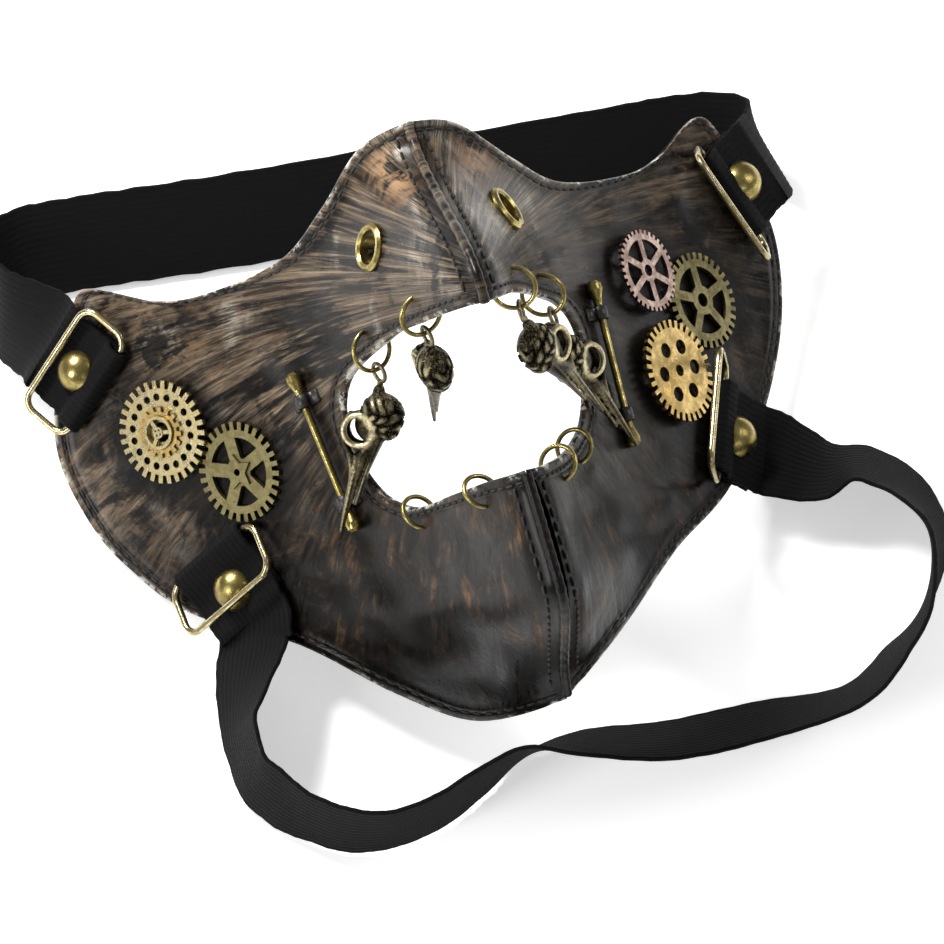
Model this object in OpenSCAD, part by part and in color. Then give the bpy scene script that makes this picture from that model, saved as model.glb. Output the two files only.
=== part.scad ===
// Steampunk half-face mask (nose to chin) in soft leather, with gears, bird-skull charms, ring
// charms, barbell pins and two elastic head straps. It lies face up on its rear edges and straps.
// Mask frame: x to the wearer's left, y to the back, z up. The whole mask is leaned back at the end.

/* [Lay] */
// angle the mask leans back from upright
recline = 58; // [0:90]
// height of the mask frame's origin above the table
lift = 96.35; // [60:0.05:140]
// shift of the mask frame along x
shift_x = -1.7; // [-20:0.1:20]
// shift of the mask frame along y
shift_y = -39.2; // [-80:0.1:80]

/* [Leather] */
// thickness of the outer leather
leather = 1.4; // [0.8:0.1:2.5]
// thickness of the lining
lining = 0.6; // [0.3:0.1:1.2]
// slope of the cheeks
cheek = 1.05; // [0.5:0.05:1.6]
// how quickly the cheeks flatten towards the ears
flatten = 0.004; // [0:0.001:0.01]
// how far the muzzle stands out
muzzle = 28; // [5:1:45]
// extra height of the nose tip
tip = 15; // [0:1:30]
// half width of the muzzle
muzzle_w = 18; // [10:1:30]
// diameter of the raised seam
piping = 2.4; // [1:0.1:4]
// diameter of the sewing thread
thread = 0.8; // [0.3:0.1:1.5]

/* [Eyelets] */
// bore of the nose vents
eyelet_bore = 8; // [4:0.5:8.5]
// outer diameter of the nose vents
eyelet_od = 11.5; // [11:0.5:15]

/* [Gears] */
// outer diameter of the large gears
gear_d = 26; // [15:0.5:35]
// outer diameter of the copper gear
copper_d = 21; // [12:0.5:30]
// thickness of each gear
gear_t = 1.2; // [0.5:0.1:3]

/* [Straps] */
// width of the elastic
strap_w = 25; // [10:0.5:40]
// thickness of the elastic
strap_t = 1.2; // [0.5:0.1:3]
// wire diameter of the strap rings
keeper_wire = 1.8; // [1:0.1:3]
// length of the strap rings between wire centres
keeper_l = 32; // [25:0.5:45]
// width of the strap rings between wire centres
keeper_w = 14; // [8:0.5:20]
// diameter of the dome rivets
dome_d = 11; // [6:0.5:16]
// height of the dome rivets
dome_h = 3.8; // [1:0.1:6]

/* [Charms] */
// radius of the rings the skulls hang from
charm_r = 5; // [3:0.1:8]
// radius of the plain rings below the mouth
hoop_r = 4.2; // [3:0.1:8]
// wire diameter of these rings
ring_wire = 1.1; // [0.5:0.1:1.4]
// length of a skull from its loop to the tip of the beak
skull_l = 42; // [30:1:60]
// length of the barbell pins
pin_l = 41.5; // [20:0.5:60]
// rod diameter of the barbell pins
pin_d = 1.8; // [1:0.1:3]

/* [Hidden] */
$fn = 48;

sr = sin(recline);
cr = cos(recline);
function unit(v) = v / norm(v);
function row(p) = [p.x + shift_x, p.y * cr + p.z * sr + shift_y, -p.y * sr + p.z * cr + lift];
function row_dir(v) = [v.x, v.y * cr + v.z * sr, -v.y * sr + v.z * cr];
module lay() translate([shift_x, shift_y, lift]) rotate([-recline, 0, 0]) children();

// ---- the face surface: y as a function of x and z
function clamp(v, a, b) = min(max(v, a), b);
function ease(a, b, v) = let(t = clamp((v - a) / (b - a), 0, 1)) t * t * (3 - 2 * t);
function bell(v) = exp(-v * v);
function stand(z) = muzzle * ease(-66, -38, z) * (1 - ease(38, 68, z)) + tip * bell((z - 31) / 13);
function face_y(x, z) = 22 + 0.1 * z
  + cheek * (sqrt(x * x + 36) - 6) - flatten * pow(max(0, abs(x) - 40), 2)
  + 0.018 * pow(max(0, -40 - z), 2)
  - stand(z) * bell(x / muzzle_w);
function face(x, z) = [x, face_y(x, z), z];
function slope_x(x, z) = (face_y(x + 0.3, z) - face_y(x - 0.3, z)) / 0.6;
function slope_z(x, z) = (face_y(x, z + 0.3) - face_y(x, z - 0.3)) / 0.6;
function out(x, z) = unit([slope_x(x, z), -1, slope_z(x, z)]);
function along(x, z, d) = unit([d[0], slope_x(x, z) * d[0] + slope_z(x, z) * d[1], d[1]]);
function over(x, z, h) = face(x, z) + h * out(x, z);

// places children with their z axis along Z and their x axis along X
module frame(p, Z, X) {
  z = unit(Z);
  x = unit(X - (X * z) * z);
  b = acos(z.z);
  c = atan2(z.y, z.x);
  lx = [cos(b) * cos(c), cos(b) * sin(c), -sin(b)];
  ly = [-sin(c), cos(c), 0];
  translate(p) rotate([0, b, c]) rotate([0, 0, atan2(x * ly, x * lx)]) children();
}
module on_face(x, z, d = [0, 1], h = 0)
  frame(over(x, z, h), out(x, z), along(x, z, d)) children();

// ---- outlines as seen from the front, from the top of the nose round to the chin
top_edge = [[0.2, 71], [12, 68], [24, 56.5], [36, 47.5], [56, 44.5], [69, 47], [82, 53.5], [88, 46]];
left_edge = concat(top_edge, [[97, 28], [100, 13], [97, -4], [91, -17], [79, -32], [56, -45],
  [37, -62], [20, -73], [0.2, -71]]);
right_edge = concat(top_edge, [[94, 27], [94, 12], [88, -6], [75, -25], [58, -39], [38, -47],
  [19, -58], [0.2, -70]]);
left_mouth = [[0.2, 27], [4, 27], [8, 26.5], [12, 25.5], [16, 24.5], [20, 22], [24, 19.5], [28, 16],
  [30.5, 11], [31.5, 5], [31, -2], [30, -8], [27, -14], [22, -17], [15, -15], [8, -13], [0.2, -12]];
right_mouth = [[0.2, 27], [4, 27], [8, 27], [12, 26], [16, 24.5], [20, 22.5], [24, 20], [27, 16],
  [28, 11], [27, 5], [25.5, 0], [24, -4], [21, -8.5], [17, -11], [12, -12.5], [6, -12.5], [0.2, -12]];

function spline(p, t) = let(
    n = len(p) - 1, i = clamp(floor(t), 0, n - 1), u = t - i,
    a = p[max(i - 1, 0)], b = p[i], c = p[i + 1], d = p[min(i + 2, n)])
  b + 0.5 * u * ((c - a) + u * ((2 * a - 5 * b + 4 * c - d) + u * (3 * (b - c) + d - a)));

steps = 3;      // columns between two outline points
rows = 9;       // rows from the mouth to the outline
function at_uv(m, e, s, i, v) = let(q = (1 - v) * spline(m, i / steps) + v * spline(e, i / steps))
  [s * q[0], q[1]];

// a sheet between depths a and b under the face, from fraction v0 to v1 between mouth and outline
module shell(m, e, s, a, b, v0, v1) {
  n = (len(m) - 1) * steps;
  uv = [for (i = [0 : n]) for (j = [0 : rows]) at_uv(m, e, s, i, v0 + (v1 - v0) * j / rows)];
  w = rows + 1;
  k = (n + 1) * w;
  front = [for (q = uv) over(q[0], q[1], -a)];
  back = [for (q = uv) over(q[0], q[1], -b)];
  quads = concat(
    [for (i = [0 : n - 1]) for (j = [0 : rows - 1])
      [i * w + j, (i + 1) * w + j, (i + 1) * w + j + 1, i * w + j + 1]],
    [for (i = [0 : n - 1]) for (j = [0 : rows - 1])
      [k + i * w + j, k + i * w + j + 1, k + (i + 1) * w + j + 1, k + (i + 1) * w + j]],
    [for (i = [0 : n - 1]) [i * w, k + i * w, k + (i + 1) * w, (i + 1) * w]],
    [for (i = [0 : n - 1]) [i * w + rows, (i + 1) * w + rows, k + (i + 1) * w + rows, k + i * w + rows]],
    [for (j = [0 : rows - 1]) [j, j + 1, k + j + 1, k + j]],
    [for (j = [0 : rows - 1]) [n * w + j, k + n * w + j, k + n * w + j + 1, n * w + j + 1]]);
  tri = [for (f = quads) each [[f[0], f[1], f[2]], [f[0], f[2], f[3]]]];
  polyhedron(points = concat(front, back),
    faces = [for (f = tri) s > 0 ? [f[0], f[1], f[2]] : [f[0], f[2], f[1]]], convexity = 8);
}

// a round strand through points p with radius r and k sides; closed if ring is true
module strand(p, r, k, ring = false) {
  n = len(p);
  pts = [for (i = [0 : n - 1]) let(
      a = p[ring ? (i + n - 1) % n : max(i - 1, 0)], b = p[ring ? (i + 1) % n : min(i + 1, n - 1)],
      t = unit(b - a), o = unit(out(p[i].x, p[i].z) - (out(p[i].x, p[i].z) * t) * t),
      c = cross(t, o))
    for (j = [0 : k - 1]) p[i] + r * (cos(360 * j / k) * o + sin(360 * j / k) * c)];
  last = ring ? n - 1 : n - 2;
  sides = [for (i = [0 : last]) for (j = [0 : k - 1]) let(
      a = i * k + j, b = i * k + (j + 1) % k, c = ((i + 1) % n) * k + (j + 1) % k,
      d = ((i + 1) % n) * k + j)
    each [[a, c, b], [a, d, c]]];
  ends = ring ? [] : [[for (j = [0 : k - 1]) j], [for (j = [k - 1 : -1 : 0]) (n - 1) * k + j]];
  polyhedron(points = pts, faces = concat(sides, ends), convexity = 6);
}

// a flat strap through stations [centre, width direction]
module band(st, w, t) {
  n = len(st);
  pts = [for (i = [0 : n - 1]) let(
      c = st[i][0], g = unit(st[min(i + 1, n - 1)][0] - st[max(i - 1, 0)][0]),
      y = unit(st[i][1] - (st[i][1] * g) * g), o = cross(g, y))
    each [c - w / 2 * y - t / 2 * o, c + w / 2 * y - t / 2 * o,
          c + w / 2 * y + t / 2 * o, c - w / 2 * y + t / 2 * o]];
  sides = [for (i = [0 : n - 2]) for (j = [0 : 3]) let(
      a = i * 4 + j, b = i * 4 + (j + 1) % 4, c = (i + 1) * 4 + (j + 1) % 4, d = (i + 1) * 4 + j)
    each [[a, b, c], [a, c, d]]];
  polyhedron(points = pts, faces = concat(sides,
    [[3, 2, 1, 0], [n * 4 - 4, n * 4 - 3, n * 4 - 2, n * 4 - 1]]), convexity = 8);
}

// ---- where things sit on the face, as [x, z]
eyes = [[-16.5, 45], [16.5, 45]];
rivets = [[-88, 34], [88, 34], [-66, -28], [64, -27]];
// direction of each strap ring's long side
sides_dir = [[-0.75, -0.66], [-0.36, 0.93], [0.88, 0.48], [0.44, 0.9]];
// distance from each rivet to the roll that holds the ring
roll_at = [7, 7, 10, 7];
// how far each strap ring is swung up from the strap
keeper_swing = [6, 140, 16, 145];
roll_h = 2.75;
charm_holes = [[-23, 26.5], [-12.5, 32], [10.5, 32.5], [20, 28]];
loops = [[-21.5, 38, 16], [-11, 12, 22.5], [10.5, 5, 22], [21, 30.5, 18]];
beaks = [[-40, 47.5, -19], [-11, 47.6, 0.2], [26.5, 29, -8], [34.5, 44, -19]];
hoop_holes = [[-22, -22], [-9.5, -18.8], [10, -18], [17, -16.8]];
hoop_dirs = [[-0.18, 1], [-0.2, 1], [0.1, 1], [0.1, 1]];
pins = [[[-39, 20.5], [-35, -20]], [[35, 21.5], [33, -18.5]]];

function fit_y(i) = along(rivets[i][0], rivets[i][1], sides_dir[i]);
function fit_n(i) = out(rivets[i][0], rivets[i][1]);
function fit_s(i) = cross(fit_y(i), fit_n(i));
function fit(i, s, h) = face(rivets[i][0], rivets[i][1]) + s * fit_s(i) + h * fit_n(i);
module at_fit(i, s = 0, h = 0) frame(fit(i, s, h), fit_n(i), fit_s(i)) children();

module bores(s) {
  for (e = eyes) if (e[0] * s > 0) on_face(e[0], e[1], h = -4) cylinder(d = eyelet_bore + 2.2, h = 8);
  for (i = [0 : 3]) if (rivets[i][0] * s > 0) at_fit(i, 0, -4) cylinder(d = 3, h = 8, $fn = 24);
  for (c = charm_holes) if (c[0] * s > 0) on_face(c[0], c[1], h = -4) cylinder(d = 2.8, h = 8, $fn = 24);
  for (c = hoop_holes) if (c[0] * s > 0) on_face(c[0], c[1], h = -4) cylinder(d = 2.8, h = 8, $fn = 24);
}

module leather_left() color("dimgray") lay() difference() {
  shell(left_mouth, left_edge, -1, 0, leather, 0, 1); bores(-1); }
module leather_right() color("dimgray") lay() difference() {
  shell(right_mouth, right_edge, 1, 0, leather, 0, 1); bores(1); }
module lining_left() color("black") lay() difference() {
  shell(left_mouth, left_edge, -1, leather + 0.05, leather + lining, 0.03, 0.98); bores(-1); }
module lining_right() color("black") lay() difference() {
  shell(right_mouth, right_edge, 1, leather + 0.05, leather + lining, 0.03, 0.98); bores(1); }

module nose_piping() color("dimgray") lay()
  strand([for (i = [0 : 16]) over(0, 27.5 + 43 * i / 16, 0.5)], piping / 2, 8);
module chin_piping() color("dimgray") lay()
  strand([for (i = [0 : 20]) over(0, -69 + 56.5 * i / 20, 0.5)], piping / 2, 8);

function rim(m, e, s, v) = [for (i = [0 : (len(m) - 1) * steps]) let(q = at_uv(m, e, s, i, v))
  over(q[0], q[1], thread * 0.45)];
function turned(p) = [for (i = [len(p) - 1 : -1 : 0]) p[i]];
module edge_stitching() color("gray") lay() strand(concat(rim(right_mouth, right_edge, 1, 0.95),
  turned(rim(left_mouth, left_edge, -1, 0.95))), thread / 2, 4, true);
module mouth_stitching() color("gray") lay() strand(concat(rim(right_mouth, right_edge, 1, 0.05),
  turned(rim(left_mouth, left_edge, -1, 0.05))), thread / 2, 4, true);
module nose_stitching() color("gray") lay() for (s = [-1, 1])
  strand([for (i = [0 : 16]) over(s * 3.4, 30 + 38 * i / 16, thread * 0.45)], thread / 2, 4);
module chin_stitching() color("gray") lay() for (s = [-1, 1])
  strand([for (i = [0 : 20]) over(s * 3.4, -67 + 52 * i / 20, thread * 0.45)], thread / 2, 4);

// ---- nose vents
module eyelet(i) color("darkgoldenrod") lay() on_face(eyes[i][0], eyes[i][1]) rotate_extrude()
  polygon([[eyelet_bore / 2, -3.2], [eyelet_bore / 2 + 0.8, -3.2], [eyelet_bore / 2 + 0.8, 0.1],
    [eyelet_od / 2, 0.1], [eyelet_od / 2, 0.6], [eyelet_od / 2 - 0.6, 1.3],
    [eyelet_bore / 2 + 0.5, 1.3], [eyelet_bore / 2, 0.8]]);
module eyelet_left() eyelet(0);
module eyelet_right() eyelet(1);
module washer(i) color("darkgoldenrod") lay() on_face(eyes[i][0], eyes[i][1], h = -2.7)
  difference() { cylinder(d = eyelet_od + 1.5, h = 0.6); translate([0, 0, -1]) cylinder(d = eyelet_bore + 1.9, h = 3); }
module eyelet_washer_left() washer(0);
module eyelet_washer_right() washer(1);

// ---- gears
function cog(n, r, h) = [for (i = [0 : n - 1]) let(a = 360 / n) each [
  r * [cos(i * a), sin(i * a)] - [0, 0], r * [cos((i + 0.45) * a), sin((i + 0.45) * a)],
  (r - h) * [cos((i + 0.5) * a), sin((i + 0.5) * a)], (r - h) * [cos((i + 0.95) * a), sin((i + 0.95) * a)]]];
module toothed(n, d, h, t) linear_extrude(t) polygon(cog(n, d / 2, h));
module window(r0, r1, a, bar, t) difference() {
  translate([0, 0, -1]) cylinder(r = r1, h = t + 2);
  translate([0, 0, -2]) cylinder(r = r0, h = t + 4);
  for (i = [0 : a - 1]) rotate([0, 0, i * 360 / a]) translate([0, -bar / 2, -2]) cube([r1 + 1, bar, t + 4]);
}
module ring_holes(n, r, d, t) for (i = [0 : n - 1]) rotate([0, 0, (i + 0.5) * 360 / n])
  translate([r, 0, -1]) cylinder(d = d, h = t + 2, $fn = 24);

gear_at = [[-71.5, 14], [-57.2, 0], [51, 20], [66, 8.5], [51.5, -6]];
module gear_left_large() color("khaki") lay() on_face(gear_at[0][0], gear_at[0][1], h = 2) difference() {
  toothed(30, gear_d, 2, gear_t);
  ring_holes(18, gear_d * 0.34, 1.9, gear_t);
  translate([0, 0, -1]) cylinder(d = 5, h = 5);
}
module gear_left_small() color("goldenrod") lay()
  on_face(gear_at[0][0], gear_at[0][1], h = 2 + gear_t) difference() {
  toothed(16, gear_d * 0.5, 1.2, 0.8);
  translate([0, 0, -1]) cylinder(d = 8.6, h = 4);
}
module gear_left_hub() color("khaki") lay()
  on_face(gear_at[0][0], gear_at[0][1], h = 2 + gear_t) union() {
  difference() { cylinder(d = 8.4, h = 1.6); translate([0, 0, -1]) cylinder(d = 6.8, h = 4); }
  difference() { cylinder(d = 2.9, h = 1.6); ring_holes(4, 0.8, 0.5, 2); }
  for (a = [20, 140, 260]) rotate([0, 0, a]) translate([1.2, -0.5, 0.8]) cube([2.6, 1, 0.6]);
}
module gear_left_spoked() color("darkkhaki") lay() on_face(gear_at[1][0], gear_at[1][1], h = 0.5)
  difference() {
  toothed(30, gear_d - 1, 2, gear_t);
  window(3.6, 8.6, 5, 3.4, gear_t);
  ring_holes(1, 0, 2, gear_t);
}
module gear_left_star() color("darkkhaki") lay()
  on_face(gear_at[1][0], gear_at[1][1], h = 0.5 + gear_t) difference() {
  linear_extrude(0.7) polygon([for (i = [0 : 9]) (i % 2 == 0 ? 4.6 : 2.4) * [cos(i * 36), sin(i * 36)]]);
  translate([0, 0, -1]) cylinder(d = 1.8, h = 4, $fn = 24);
}
module gear_right_copper() color("rosybrown") lay() on_face(gear_at[2][0], gear_at[2][1], h = 2)
  difference() {
  toothed(36, copper_d, 1, gear_t);
  window(2.9, 8, 6, 1.7, gear_t);
  translate([0, 0, -1]) cylinder(d = 3, h = 4, $fn = 24);
}
module gear_right_bronze() color("olive") lay() on_face(gear_at[3][0], gear_at[3][1], h = 0.5)
  difference() {
  toothed(32, gear_d - 1, 1.8, gear_t);
  window(3.8, 8.8, 5, 2.4, gear_t);
  translate([0, 0, -1]) cylinder(d = 3.6, h = 4, $fn = 24);
}
module gear_right_plate() color("goldenrod") lay() on_face(gear_at[4][0], gear_at[4][1], h = 2)
  difference() {
  toothed(34, gear_d, 2, gear_t);
  ring_holes(6, gear_d * 0.25, 3.8, gear_t);
  translate([0, 0, -1]) cylinder(d = 3, h = 4, $fn = 24);
}

// ---- barbell pins and the leather bands over their necks
function pin_a(i) = over(pins[i][0][0], pins[i][0][1], 1.6);
function pin_b(i) = over(pins[i][1][0], pins[i][1][1], 1.6);
module pin(i) color("darkgoldenrod") lay()
  frame((pin_a(i) + pin_b(i)) / 2, pin_a(i) - pin_b(i), [1, 0, 0]) union() {
  cylinder(d = pin_d, h = pin_l - 6, center = true);
  for (m = [0, 1]) mirror([0, 0, m]) rotate_extrude() polygon([[0, pin_l / 2 - 7], [0.9, pin_l / 2 - 6.5],
    [1.2, pin_l / 2 - 4.5], [2, pin_l / 2 - 2.2], [1.9, pin_l / 2 - 0.8], [1.1, pin_l / 2], [0, pin_l / 2 + 0.2]]);
}
module pin_left() pin(0);
module pin_right() pin(1);
module pin_band(i, k) color("black") lay() let(a = pin_a(i), b = pin_b(i), p = k == 0 ? a : b,
    t = unit(b - a) * (k == 0 ? 1 : -1), c = p + 7.5 * t, o = out(c.x, c.z))
  frame(c, a - b, o) difference() {
    translate([-2.6, -3, -1.6]) cube([4.6, 6, 3.2]);
    translate([0, 0, -3]) cylinder(d = pin_d + 0.3, h = 6, $fn = 24);
  }
module pin_band_left_upper() pin_band(0, 0);
module pin_band_left_lower() pin_band(0, 1);
module pin_band_right_upper() pin_band(1, 0);
module pin_band_right_lower() pin_band(1, 1);

// ---- strap fittings
module dome(i) color("darkkhaki") lay() at_fit(i, 0, 2.75) union() {
  rotate_extrude() intersection() {
    translate([0, -((dome_d * dome_d / 4 - dome_h * dome_h) / (2 * dome_h))])
      circle(r = (dome_d * dome_d / 4 + dome_h * dome_h) / (2 * dome_h));
    square([dome_d, dome_h + 1]);
  }
  translate([0, 0, -5.2]) cylinder(d = 2.4, h = 5.3, $fn = 24);
}
module dome_upper_left() dome(0);
module dome_upper_right() dome(1);
module dome_lower_left() dome(2);
module dome_lower_right() dome(3);
module cap(i) color("darkkhaki") lay() at_fit(i, 0, -3) difference() {
  cylinder(d1 = 7, d2 = 8.5, h = 0.8);
  translate([0, 0, -1]) cylinder(d = 2.5, h = 3, $fn = 24);
}
module cap_upper_left() cap(0);
module cap_upper_right() cap(1);
module cap_lower_left() cap(2);
module cap_lower_right() cap(3);

corner_r = 3.8;
module keeper_wire_half() {
  lx = keeper_w - 2 * corner_r;
  ly = keeper_l - 2 * corner_r;
  for (y = [-1, 1]) {
    translate([corner_r, y * keeper_l / 2, 0]) rotate([0, 90, 0]) cylinder(d = keeper_wire, h = lx, $fn = 24);
    for (x = [0, 1]) translate([corner_r + x * lx, y * ly / 2, 0])
      rotate([0, 0, y > 0 ? 90 - x * 90 : 180 + x * 90]) rotate_extrude(angle = 90)
        translate([corner_r, 0]) circle(d = keeper_wire, $fn = 24);
  }
  for (x = [0, 1]) translate([x * keeper_w, -ly / 2, 0]) rotate([-90, 0, 0])
    cylinder(d = keeper_wire, h = ly, $fn = 24);
}
module keeper(i) color("khaki") lay() at_fit(i, -roll_at[i], roll_h)
  rotate([0, -keeper_swing[i], 0]) keeper_wire_half();
module keeper_upper_left() keeper(0);
module keeper_upper_right() keeper(1);
module keeper_lower_left() keeper(2);
module keeper_lower_right() keeper(3);

// folded strap end, from its hidden tail round the roll and out over the rivet
roll_r = keeper_wire / 2 + 0.3 + strap_t / 2;
function fold(i, g) = let(r = roll_at[i], y = g * fit_y(i)) concat(
  [for (s = [6, 2, 3 - r]) [row(fit(i, s, 0.75)), row_dir(y)]],
  [for (a = [-90 : -30 : -270]) [row(fit(i, -r + roll_r * cos(a), roll_h + roll_r * sin(a))), row_dir(y)]],
  [for (q = [[3 - r, 3.9], [-2.5, 2.3], [2, 2.1], [7, 2.1], [10, 2.2]])
    [row(fit(i, q[0], q[1])), row_dir(y)]]);

// free stations as [centre, width direction], measured from the table below the mask frame's origin
upper_free = [
  [[-95, 97, 26], [0.7, 0.35, 0.65]], [[-103, 111, 19], [0.35, 0.45, 0.8]],
  [[-103, 124, 14], [0.1, 0.6, 0.78]], [[-95, 132, 10], [0, 0.75, 0.65]],
  [[-80, 132, 9], [0, 0.78, 0.62]], [[-40, 126, 9], [0, 0.78, 0.62]],
  [[10, 120, 9], [0, 0.78, 0.62]], [[60, 114, 9], [0, 0.78, 0.62]],
  [[87, 110, 10], [0, 0.78, 0.62]], [[99, 103, 13], [-0.1, 0.78, 0.62]],
  [[101, 95, 19], [-0.3, 0.75, 0.62]]];
lower_free = [
  [[-67, 3, 10.5], [15, -13, 16]], [[-73, -11, 12], [9, -12, 20]],
  [[-76, -20, 12.5], [7, -9, 22]], [[-76, -31, 13], [8, -5, 23]],
  [[-72, -39, 13.5], [7, 0, 24]], [[-66, -46, 13.5], [4, 0, 25]],
  [[-58, -52, 13.5], [3, 0, 25]], [[-48, -55, 13.5], [0, -1, 25]],
  [[-36, -54, 13.5], [-2, -2, 25]], [[-24, -50, 13.5], [-3, -4, 25]],
  [[-11, -46, 13], [-3, -8, 23]], [[3, -48, 12.5], [-5, -14, 20]],
  [[23, -53, 11], [-4, -17, 18]], [[46, -55, 11], [-2, -17, 18]],
  [[69, -56, 12], [-1, -14, 21]], [[85, -47, 13], [-2, -12, 22]],
  [[95, -38, 13], [-6, -10, 22]], [[102, -26, 12], [-9, -11, 21]],
  [[104, -16, 11.5], [-11, -9, 20]], [[101, -4, 10.5], [-12, -13, 17]],
  [[94, 4, 10], [-11, -15, 16]], [[84, 7, 7.5], [-11, -19, 9]]];
function placed(st) = [for (s = st) [s[0] + [shift_x, shift_y, lift - 96], s[1]]];
function smooth(st, k) = let(c = [for (s = st) s[0]], w = [for (s = st) unit(s[1])])
  [for (i = [0 : (len(st) - 1) * k]) [spline(c, i / k), spline(w, i / k)]];
function joined(a, free, b) = let(na = len(a))
  concat([for (i = [0 : na - 2]) a[i]], smooth(concat([a[na - 1]], placed(free), [b[0]]), 3),
    [for (i = [1 : len(b) - 1]) b[i]]);
module upper_strap() color("black")
  band(joined(fold(0, -1), upper_free, turned(fold(1, 1))), strap_w, strap_t);
module lower_strap() color("black")
  band(joined(fold(2, 1), lower_free, turned(fold(3, -1))), strap_w, strap_t);

// ---- charms
module torus(r, d) rotate_extrude() translate([r, 0]) circle(d = d, $fn = 24);
function hole_at(i) = over(charm_holes[i][0], charm_holes[i][1], -(leather + lining) / 2);
module charm_ring(i) color("darkgoldenrod") lay()
  frame(hole_at(i), out(charm_holes[i][0], charm_holes[i][1]), loops[i] - hole_at(i))
    rotate([0, 90 - acos(unit(loops[i] - hole_at(i)) * -out(charm_holes[i][0], charm_holes[i][1])), 0])
      translate([charm_r, 0, 0]) rotate([90, 0, 0]) torus(charm_r, ring_wire);
module charm_ring_1() charm_ring(0);
module charm_ring_2() charm_ring(1);
module charm_ring_3() charm_ring(2);
module charm_ring_4() charm_ring(3);

function loop_at(i) = hole_at(i) + (2 * charm_r + 0.9) * unit(loops[i] - hole_at(i));
function skull_up(i) = unit(loops[i] - beaks[i]);
skull_side = [[-0.35, -0.93, 0], [-0.97, 0.1, -0.2], [-0.59, 0.81, 0], [-0.49, 0.87, -0.07]];
module cone_between(a, b, r1, r2)
  frame([a[0], 0, a[1]], [b[0] - a[0], 0, b[1] - a[1]], [0, 1, 0])
    cylinder(r1 = r1, r2 = r2, h = norm(b - a), $fn = 24);
function ring_tangent(i) = let(o = out(charm_holes[i][0], charm_holes[i][1]),
  d = unit(loops[i] - hole_at(i))) unit(o - (o * d) * d);
module skull(i) color("darkolivegreen") lay() union() {
  frame(loop_at(i), ring_tangent(i), skull_up(i)) torus(2.3, 1);
  frame(loop_at(i), skull_up(i), cross(skull_up(i), skull_side[i])) difference() {
    union() {
      translate([3, 0, -10]) sphere(r = 6);
      cone_between([0.6, -2.4], [2, -6], 1.3, 2.4);
      translate([-1, 0, -14.4]) rotate([90, 0, 0]) cylinder(r = 4.5, h = 7, center = true);
      cone_between([-1, -16], [0.5, -28], 3.2, 1.4);
      cone_between([0.3, -25], [0, 1 - skull_l], 1.9, 0.5);
      cone_between([3.4, -14], [1.4, -34], 1.5, 0.6);
    }
    translate([-1.2, 0, -14.6]) rotate([90, 0, 0]) cylinder(r = 3.1, h = 16, center = true);
  }
}
module skull_1() skull(0);
module skull_2() skull(1);
module skull_3() skull(2);
module skull_4() skull(3);

module hoop(i) color("darkgoldenrod") lay()
  on_face(hoop_holes[i][0], hoop_holes[i][1], hoop_dirs[i], -(leather + lining) / 2)
    translate([hoop_r, 0, 0]) rotate([90, 0, 0]) torus(hoop_r, ring_wire);
module hoop_1() hoop(0);
module hoop_2() hoop(1);
module hoop_3() hoop(2);
module hoop_4() hoop(3);

leather_left();
leather_right();
lining_left();
lining_right();
nose_piping();
chin_piping();
edge_stitching();
mouth_stitching();
nose_stitching();
chin_stitching();
eyelet_left();
eyelet_right();
eyelet_washer_left();
eyelet_washer_right();
gear_left_large();
gear_left_small();
gear_left_hub();
gear_left_spoked();
gear_left_star();
gear_right_copper();
gear_right_bronze();
gear_right_plate();
pin_left();
pin_right();
pin_band_left_upper();
pin_band_left_lower();
pin_band_right_upper();
pin_band_right_lower();
upper_strap();
lower_strap();
dome_upper_left();
dome_upper_right();
dome_lower_left();
dome_lower_right();
cap_upper_left();
cap_upper_right();
cap_lower_left();
cap_lower_right();
keeper_upper_left();
keeper_upper_right();
keeper_lower_left();
keeper_lower_right();
charm_ring_1();
charm_ring_2();
charm_ring_3();
charm_ring_4();
skull_1();
skull_2();
skull_3();
skull_4();
hoop_1();
hoop_2();
hoop_3();
hoop_4();
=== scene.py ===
import math
import bpy
import numpy as np
from mathutils import Vector, Matrix


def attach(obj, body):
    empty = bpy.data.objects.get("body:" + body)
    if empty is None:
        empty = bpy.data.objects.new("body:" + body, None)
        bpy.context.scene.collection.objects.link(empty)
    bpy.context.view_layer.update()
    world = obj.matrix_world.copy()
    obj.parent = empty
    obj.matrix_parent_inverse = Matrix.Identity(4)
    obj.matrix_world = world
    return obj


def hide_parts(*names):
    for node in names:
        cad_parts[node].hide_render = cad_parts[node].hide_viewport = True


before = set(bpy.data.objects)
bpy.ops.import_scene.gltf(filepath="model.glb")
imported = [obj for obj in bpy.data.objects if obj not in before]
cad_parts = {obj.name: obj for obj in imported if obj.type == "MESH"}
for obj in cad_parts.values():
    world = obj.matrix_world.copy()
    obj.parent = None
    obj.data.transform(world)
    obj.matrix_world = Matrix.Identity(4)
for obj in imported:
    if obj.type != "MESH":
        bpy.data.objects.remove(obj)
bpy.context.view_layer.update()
MM = 0.001

# ---------------------------------------------------------------- camera, light, floor
cam_data = bpy.data.cameras.new("camera")
cam_data.lens = 125.3
cam_data.sensor_width = 36.0
cam_data.clip_start = 0.01
cam = bpy.data.objects.new("camera", cam_data)
bpy.context.scene.collection.objects.link(cam)
fwd = Vector((0.1138, 0.4513, -0.8851)).normalized()
upv = Vector((0.2794, 0.8404, 0.4644))
rgt = fwd.cross(upv).normalized()
upv = rgt.cross(fwd)
cam.matrix_world = Matrix(((rgt.x, upv.x, -fwd.x, -0.0974), (rgt.y, upv.y, -fwd.y, -0.3834),
                           (rgt.z, upv.z, -fwd.z, 0.7501), (0, 0, 0, 1)))
bpy.context.scene.camera = cam
bpy.context.scene.view_settings.view_transform = "Standard"


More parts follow.
